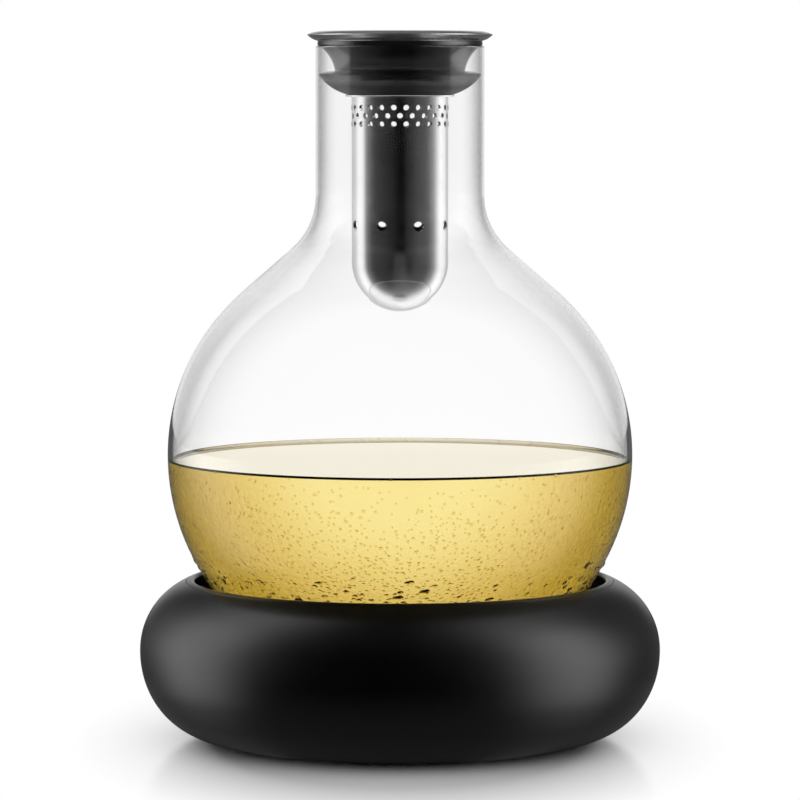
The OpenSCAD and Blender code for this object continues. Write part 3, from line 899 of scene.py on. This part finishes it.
# Shape of a drop of radius 1, how many there are to a square metre, their smallest and largest radius,
# their longest stretch, and the heights below which they are dense and above which there are none
DROP_KINDS = {
    "fine": {"sides": 7, "levels": 2, "height": 0.09, "wobble": 0, "turn": 0, "amount": 400000,
             "radius": (0.28, 0.55), "stretch": 1.5, "heights": (56, 104), "seed": 3},
    "middling": {"sides": 10, "levels": 3, "height": 0.3, "wobble": 0.06, "turn": 0, "amount": 70000,
                 "radius": (0.4, 0.85), "stretch": 1.35, "heights": (48, 63), "seed": 11},
    "large": {"sides": 16, "levels": 5, "height": 0.42, "wobble": 0.1, "turn": 1, "amount": 42000,
              "radius": (0.55, 1.35), "stretch": 1.35, "heights": (50, 62), "seed": 23},
}
# More than 1 makes most drops small
SIZE_SKEW = 2.2
PATCH_SCALE = 60
PATCH_RANGE = (0.35, 0.65)
THINNEST_PATCH = 0.35
# The band of glass that bears drops: its lowest height, and how far it stays under the wine's surface
BAND_LOW = 46
BAND_TOP_GAP = 0.6
BAND_STEPS = 180
BAND_RINGS = 24


def drop_shape(name, kind):
    """Flat-bottomed drop of radius 1, with an outline that wobbles."""
    bm = bmesh.new()
    sides, levels, height = kind["sides"], kind["levels"], kind["height"]
    wobble, turn = kind["wobble"], kind["turn"]
    base = bm.verts.new((0, 0, -DROP_SINK))
    rings = []
    for level in range(levels):
        t = level / levels * math.pi / 2
        reach, rise = math.cos(t), height * math.sin(t)
        ring = []
        for k in range(sides):
            a = 2 * math.pi * k / sides
            out = reach * (1 + wobble * math.sin(2 * a + turn) + wobble * math.sin(3 * a + 2 * turn))
            ring.append(bm.verts.new((out * math.cos(a), out * math.sin(a), rise if level else -DROP_SINK)))
        rings.append(ring)
    top = bm.verts.new((0, 0, height))
    for k in range(sides):
        n = (k + 1) % sides
        bm.faces.new((base, rings[0][n], rings[0][k]))
        for low, high in zip(rings, rings[1:]):
            bm.faces.new((low[k], low[n], high[n], high[k]))
        bm.faces.new((rings[-1][k], rings[-1][n], top))
    return mesh_object(name, bm, DROP_SHARP_ANGLE)


def drop_tree(material):
    """Drops scattered over a surface: patchy, thinning out upwards, most of them small."""
    tree = Tree("condensation", DROP_SIZES)
    size = tree.inputs
    place = tree.add("GeometryNodeInputPosition").outputs["Position"]
    thinning = tree.ranged(tree.parts(place)["Z"], size["None above"], size["Dense below"], 0, 1,
                           interpolation_type="SMOOTHSTEP")
    patches = tree.add("ShaderNodeTexNoise", {"Scale": PATCH_SCALE, "Vector": place})
    amount = tree.product(thinning, tree.ranged(patches.outputs["Fac"], *PATCH_RANGE, THINNEST_PATCH, 1))
    points = tree.add("GeometryNodeDistributePointsOnFaces", {
        "Mesh": size["Geometry"], "Seed": size["Seed"],
        "Density": tree.product(amount, size["Drops per square metre"])})
    draw = tree.add("FunctionNodeRandomValue", {"Seed": size["Seed"]}, data_type="FLOAT")
    skewed = tree.math("POWER", draw.outputs[1], SIZE_SKEW)
    radius = tree.ranged(skewed, 0, 1, size["Smallest radius"], size["Largest radius"])
    next_seed = tree.math("ADD", size["Seed"], 1)
    spread = tree.add("FunctionNodeRandomValue", {"Seed": next_seed}, data_type="FLOAT")
    length = tree.product(radius, tree.ranged(spread.outputs[1], 0, 1, 1, size["Longest stretch"]))
    # Each drop lies on the glass with its long side level
    sideways = tree.add("ShaderNodeVectorMath", {0: points.outputs["Normal"], 1: (0, 0, 1)},
                        operation="CROSS_PRODUCT")
    level = tree.add("FunctionNodeAlignRotationToVector", {
        "Rotation": points.outputs["Rotation"], "Vector": sideways.outputs["Vector"]},
        axis="X", pivot_axis="Z")
    source = tree.add("GeometryNodeObjectInfo", {"Object": size["Shape"]})
    drops = tree.add("GeometryNodeInstanceOnPoints", {
        "Points": points.outputs["Points"], "Instance": source.outputs["Geometry"],
        "Rotation": level.outputs["Rotation"], "Scale": tree.vector(X=length, Y=radius, Z=radius)})
    tree.finish(drops.outputs["Instances"], material)
    return tree


def cold_band():
    """The outside of the globe from inside the bowl up to the wine's surface."""
    low_angle = -math.degrees(math.asin((GLOBE_Z - BAND_LOW) / BELLY_H))
    high_angle = -math.degrees(math.asin((GLOBE_Z - WINE_TOP - BAND_TOP_GAP) / BELLY_H))
    bm = bmesh.new()
    rings = [turned_ring(bm, r, z, BAND_STEPS)
             for r, z in ellipse(0, GLOBE_Z, GLOBE_R, BELLY_H, low_angle, high_angle, BAND_RINGS)]
    for lower, upper in zip(rings, rings[1:]):
        for k in range(BAND_STEPS):
            n = (k + 1) % BAND_STEPS
            bm.faces.new((lower[k], lower[n], upper[n], upper[k]))
    mesh = bpy.data.meshes.new("cold_band")
    bm.to_mesh(mesh)
    bm.free()
    return new_object("cold_band", mesh)


def condensation():
    """Fine, middling and large drops on the outside of the glass over the cold wine."""
    material = water()
    tree = drop_tree(material)
    surface = cold_band()
    for size, kind in DROP_KINDS.items():
        shape = drop_shape(size + "_shape", kind)
        small, large = kind["radius"]
        low, high = kind["heights"]
        drops = tree.plain_mesh(size + "_drops", surface, {
            "Shape": shape, "Drops per square metre": kind["amount"], "Smallest radius": small * MM,
            "Largest radius": large * MM, "Longest stretch": kind["stretch"], "Dense below": low * MM,
            "None above": high * MM, "Seed": kind["seed"]})
        dress(drops, "carafe", "clear_glass", material)
        bpy.data.objects.remove(shape)
    bpy.data.objects.remove(surface)


condensation()

# CAD nodes that keep their own meshes

# Name, darkest and lightest colour; then, where they aren't the usual ones, the range of roughness,
# the grain's scale and its depth
PAINTS = {
    "insulation": ("foam", (0.70, 0.62, 0.40), (0.80, 0.73, 0.52), (0.85, 0.95), 900, 0.2),
    "base_plate": ("plate_black", (0.010, 0.010, 0.011), (0.016, 0.016, 0.017)),
    "foot_ring": ("foot_rubber", (0.016, 0.016, 0.017), (0.026, 0.026, 0.027), (0.6, 0.8)),
    "core_case": ("core_grey", (0.020, 0.022, 0.024), (0.03, 0.032, 0.034)),
    "core_cover": ("core_cover_grey", (0.016, 0.017, 0.018), (0.024, 0.025, 0.027)),
    "core_gel": ("gel_blue", (0.20, 0.42, 0.55), (0.30, 0.52, 0.64), (0.15, 0.3)),
    "core_plug": ("plug_black", (0.010, 0.010, 0.011), (0.016, 0.016, 0.017)),
    "seat_pad": ("pad_silicone", (0.012, 0.012, 0.013), (0.02, 0.02, 0.021), (0.5, 0.65)),
}


def paint(node, material):
    """Gives a CAD node a material of its own."""
    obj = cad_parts[node]
    obj.data.materials.clear()
    obj.data.materials.append(material)


for node, look in PAINTS.items():
    paint(node, moulded(*look))
paint("base_screws", satin_steel())


# Floor, light and camera

PHOTO_SIZE = 800
FOCAL_PX = 4261
HORIZON_ROW = 78
PX_PER_MM = 3.13
CAMERA_HEIGHT = 211.6
SENSOR_WIDTH = 36

# What mirrors see of the studio, by angle from straight ahead of the object's front (0) to straight
# behind it (180): a dark front and a bright panel at each side
STEEL_LEFT = ((0, 0.004), (9, 0.0105), (17, 0.02), (29, 0.029), (49, 0.045), (60, 0.051), (71, 0.083),
              (83, 0.22), (90, 0.5), (96, 1.04), (104, 1.35), (115, 1.35), (131, 0.9), (150, 0.7),
              (166, 0.7), (172, 1))
STEEL_RIGHT = ((5, 0.005), (10, 0.0085), (19, 0.031), (29, 0.045), (39, 0.072), (49, 0.09), (60, 0.096),
               (71, 0.137), (83, 0.3), (90, 0.5), (96, 0.8), (104, 1.2), (113, 1.42), (131, 1.22),
               (150, 0.6), (172, 1))
BOWL_LEFT = ((0, 0.0), (30, 0.01), (42, 0.02), (54, 0.05), (66, 0.22), (78, 1.12), (90, 2.3), (102, 2.4),
             (114, 2.0), (126, 1.0), (138, 0.35), (150, 0.15), (162, 0.1), (180, 0.15))
BOWL_RIGHT = ((18, 0.01), (30, 0.03), (42, 0.14), (54, 0.8), (66, 2.1), (78, 2.85), (90, 2.7), (102, 1.65),
              (114, 0.45), (126, 0.15), (150, 0.11), (180, 0.15))
TOP_LEFT = ((0, 0.04), (30, 0.05), (54, 0.1), (66, 0.22), (78, 0.45), (90, 0.8), (102, 1.1), (114, 1.35),
            (126, 1.5), (138, 1.35), (150, 0.9), (162, 0.4), (180, 0.15))
TOP_RIGHT = ((6, 0.05), (18, 0.07), (30, 0.13), (42, 0.3), (54, 0.5), (66, 0.8), (78, 1.1), (102, 1.1),
             (114, 0.95), (126, 0.7), (138, 0.45), (150, 0.27), (162, 0.15), (180, 0.12))
GLASS_SIDE = ((0, 0.01), (16, 0.015), (24, 0.05), (32, 0.09), (41, 0.12), (49, 0.17), (60, 0.22), (71, 0.3),
              (77, 0.8), (95, 0.7), (108, 0.35), (120, 0.1), (132, 0.13), (142, 0.1), (152, 0.6), (162, 0.9))
# The strongest light in these lists is weaker than this
PANEL_LIGHT = 3.0
# The steel sees the studio from this height
STEEL_Z = 170

# Table, in metres from its middle
TABLE_R = 3
SHADOW_START = 0.06
SHADOW_END = 0.105
SHADOW_SQUEEZE = (1, 0.6, 1)
# Radius of the bowl's side where it mirrors the table
BULGE_MIRROR = 0.075
# What reaches the bowl of the panels' light on the table, by distance as a share of REACH_END
REACH_END = 0.6
REACH = ((0.13, 0.02), (0.16, 0.16), (0.19, 0.5), (0.26, 0.76), (0.45, 0.84), (1, 0.9))
# A faint ring of light near the bowl's foot: its strength, and where it starts and ends
GLOW = 0.12
GLOW_START = (0.06, 0.075)
GLOW_END = (0.09, 0.15)

# Heights in the studio are sines of the angle over the horizon. Here the side panels pass into the
# overhead ones, the light from below passes into that from above, and the ceiling gets dark
OVERHEAD = (0.56, 0.9)
HORIZON = (-0.1, 0.1)
BELOW_HORIZON = 0.8
CEILING_START = math.sin(math.radians(64))
CEILING_FULL = math.sin(math.radians(86))
CEILING_LIGHT = 0.08
# The white strip behind the table's edge: how far behind and how high
STRIP_BEHIND = (0.93, 0.985)
STRIP_HIGH = (0.26, 0.38)
# The white room that the wine's level surface mirrors: where it starts and ends
OVER_TABLE_LOW = (0.06, 0.085)
OVER_TABLE_HIGH = (0.35, 0.5)
# How many skins light passes: up to two where the carafe's own wall mirrors it, four where something
# inside the carafe does, and more where it goes through the wine as well
PAST_OUTER_SKIN = 2.5
PAST_CARAFE = (4.4, 4.6)
THROUGH_WINE = 0.15


def ring_light(nodes, vector, left, right, polar=False, stretch=1):
    """Strength that a mirror sees in a direction, from the brightness at angles to the left and right.

    The angle is the bearing round the vertical axis, or with polar the whole angle from the front."""
    parts = nodes.parts(vector)
    ahead = nodes.product(parts["Y"], -1)
    aside = parts["X"]
    if polar:
        square = nodes.product(aside, aside)
        both = nodes.math("MULTIPLY_ADD", parts["Z"], parts["Z"], square)
        aside = nodes.product(nodes.math("SQRT", both), nodes.math("SIGN", aside))
    bearing = nodes.product(nodes.math("ARCTAN2", aside, ahead), stretch)
    share = nodes.math("MULTIPLY_ADD", bearing, 0.5 / math.pi, 0.5, clamp=True)
    angles = [(-angle, value) for angle, value in reversed(left)] + list(right)
    stops = greys((0.5 + angle / 360, value / PANEL_LIGHT) for angle, value in angles)
    return nodes.product(nodes.ramp(share, stops), PANEL_LIGHT)


def behind_glass(nodes):
    """1 for light that reaches a mirror through the carafe's wall and leaves through it again."""
    return nodes.math("GREATER_THAN", nodes.light_path()["Transmission Depth"], PAST_OUTER_SKIN)


def mirrored(nodes):
    """1 for light that has met a mirror-like surface on its way to the eye, 0 for all other light."""
    light = nodes.light_path()
    met = nodes.math("GREATER_THAN", light["Glossy Depth"], 0.5)
    # Light that a matt surface gathers is plain white from all round
    return nodes.math("SUBTRACT", met, light["Is Diffuse Ray"], clamp=True)


def floor():
    """White, glossy table that fades into the background a little way off."""
    bpy.ops.mesh.primitive_circle_add(vertices=128, radius=TABLE_R, fill_type="NGON")
    obj = bpy.context.object
    obj.name = "table"
    f = Finish("white_table")
    f.set(Base_Color=(0.93, 0.93, 0.93, 1), Roughness=0.16, Specular_IOR_Level=0.5)
    f.material.cycles.emission_sampling = "NONE"

    def distance(place):
        return f.add("ShaderNodeVectorMath", {0: place}, operation="LENGTH").outputs["Value"]

    away = distance(f.place)
    # The shadow is narrower at the sides than in front
    far = f.spread(distance(f.stretched(SHADOW_SQUEEZE)), 0, 1, SHADOW_START, SHADOW_END)
    seen = f.math("SUBTRACT", 1, f.light_path()["Is Diffuse Ray"])
    # The far table is white; the bowl sees on it the panels' light, weaker near its foot, and the
    # steel sees the same studio as above
    met = mirrored(f)
    twice = f.product(away, 2)
    stretch = f.math("DIVIDE", twice, f.math("SUBTRACT", twice, BULGE_MIRROR))
    panels = ring_light(f, f.place, BOWL_LEFT, BOWL_RIGHT, stretch=stretch)
    reach = f.ramp(f.spread(away, 0, 1, 0, REACH_END), greys(REACH))
    glow = f.product(f.spread(away, 0, GLOW, *GLOW_START), f.spread(away, 1, 0, *GLOW_END))
    bowl_sees = f.math("ADD", f.product(panels, reach), glow)
    offset = f.add("ShaderNodeVectorMath", {0: f.place, 1: (0, 0, STEEL_Z * MM)}, operation="SUBTRACT")
    steel_sees = ring_light(f, offset.outputs["Vector"], STEEL_LEFT, STEEL_RIGHT, polar=True)
    strength = f.mixed(behind_glass(f), bowl_sees, steel_sees)
    white = f.add("ShaderNodeEmission", {"Strength": f.mixed(met, 1, strength)})
    share = f.product(f.math("MAXIMUM", far, met), seen)
    mix = f.add("ShaderNodeMixShader", {0: share, 1: f.shader.outputs["BSDF"], 2: white.outputs["Emission"]})
    f.link(mix.outputs["Shader"], f.output.inputs["Surface"])
    obj.data.materials.append(f.material)


def studio():
    """White studio; mirror-like surfaces see panels at both sides and a dark ceiling."""
    world = bpy.data.worlds.new("studio")
    bpy.context.scene.world = world
    world.use_nodes = True
    world.cycles.sampling_method = "NONE"
    sky = Nodes(world.node_tree)
    sky.tree.nodes.clear()
    place = sky.add("ShaderNodeTexCoord").outputs["Generated"]
    parts = sky.parts(place)
    up = parts["Z"]
    light = sky.light_path()
    # The bowl and the lip: panels that lean in overhead, a dark ceiling, and a white strip behind
    # the table's edge
    side = ring_light(sky, place, BOWL_LEFT, BOWL_RIGHT)
    top = ring_light(sky, place, TOP_LEFT, TOP_RIGHT)
    panels = sky.mixed(sky.ranged(up, *OVERHEAD, 0, 1), side, top)
    low = sky.ranged(up, *HORIZON, BELOW_HORIZON, 1)
    ceiling = sky.ranged(up, CEILING_START, CEILING_FULL, 1, CEILING_LIGHT)
    level = sky.ranged(sky.math("ABSOLUTE", up), *STRIP_HIGH, 1, 0)
    strip = sky.product(sky.ranged(parts["Y"], *STRIP_BEHIND, 0, 1), level)
    around = sky.mixed(strip, sky.product(sky.product(panels, low), ceiling), 1)
    # Steel and seal inside the glass
    steel = ring_light(sky, place, STEEL_LEFT, STEEL_RIGHT, polar=True)
    # The wine's level surface mirrors the white room over the table, all round
    over_table = sky.product(sky.ranged(up, *OVER_TABLE_LOW, 0, 1), sky.ranged(up, *OVER_TABLE_HIGH, 1, 0))
    satin = sky.mixed(behind_glass(sky), around, sky.mixed(over_table, steel, 1))
    # Little of it comes through the wine as well
    satin = sky.product(satin, sky.ranged(light["Transmission Depth"], *PAST_CARAFE, 1, THROUGH_WINE))
    # The glass's own outer skin
    outside = sky.math("LESS_THAN", light["Transmission Depth"], PAST_OUTER_SKIN)
    outer = sky.product(light["Is Singular Ray"], outside)
    glass = ring_light(sky, place, GLASS_SIDE, GLASS_SIDE[1:])
    strength = sky.mixed(mirrored(sky), 1, sky.mixed(outer, satin, glass))
    white = sky.add("ShaderNodeBackground", {"Color": (1, 1, 1, 1), "Strength": strength})
    sky.add("ShaderNodeOutputWorld", {"Surface": white.outputs["Background"]})


def camera():
    """Camera that looks at the carafe from a little above, at the photograph's angle."""
    data = bpy.data.cameras.new("camera")
    data.sensor_width = SENSOR_WIDTH
    data.lens = SENSOR_WIDTH * FOCAL_PX / PHOTO_SIZE
    data.clip_start = 0.05
    data.clip_end = 20
    obj = new_object("camera", data)
    pitch = math.atan((PHOTO_SIZE / 2 - HORIZON_ROW) / FOCAL_PX)
    obj.location = (0, -FOCAL_PX / PX_PER_MM * MM, CAMERA_HEIGHT * MM)
    obj.rotation_euler = (math.pi / 2 - pitch, 0, 0)
    bpy.context.scene.camera = obj


floor()
studio()
camera()
bpy.context.scene.view_settings.view_transform = "Standard"
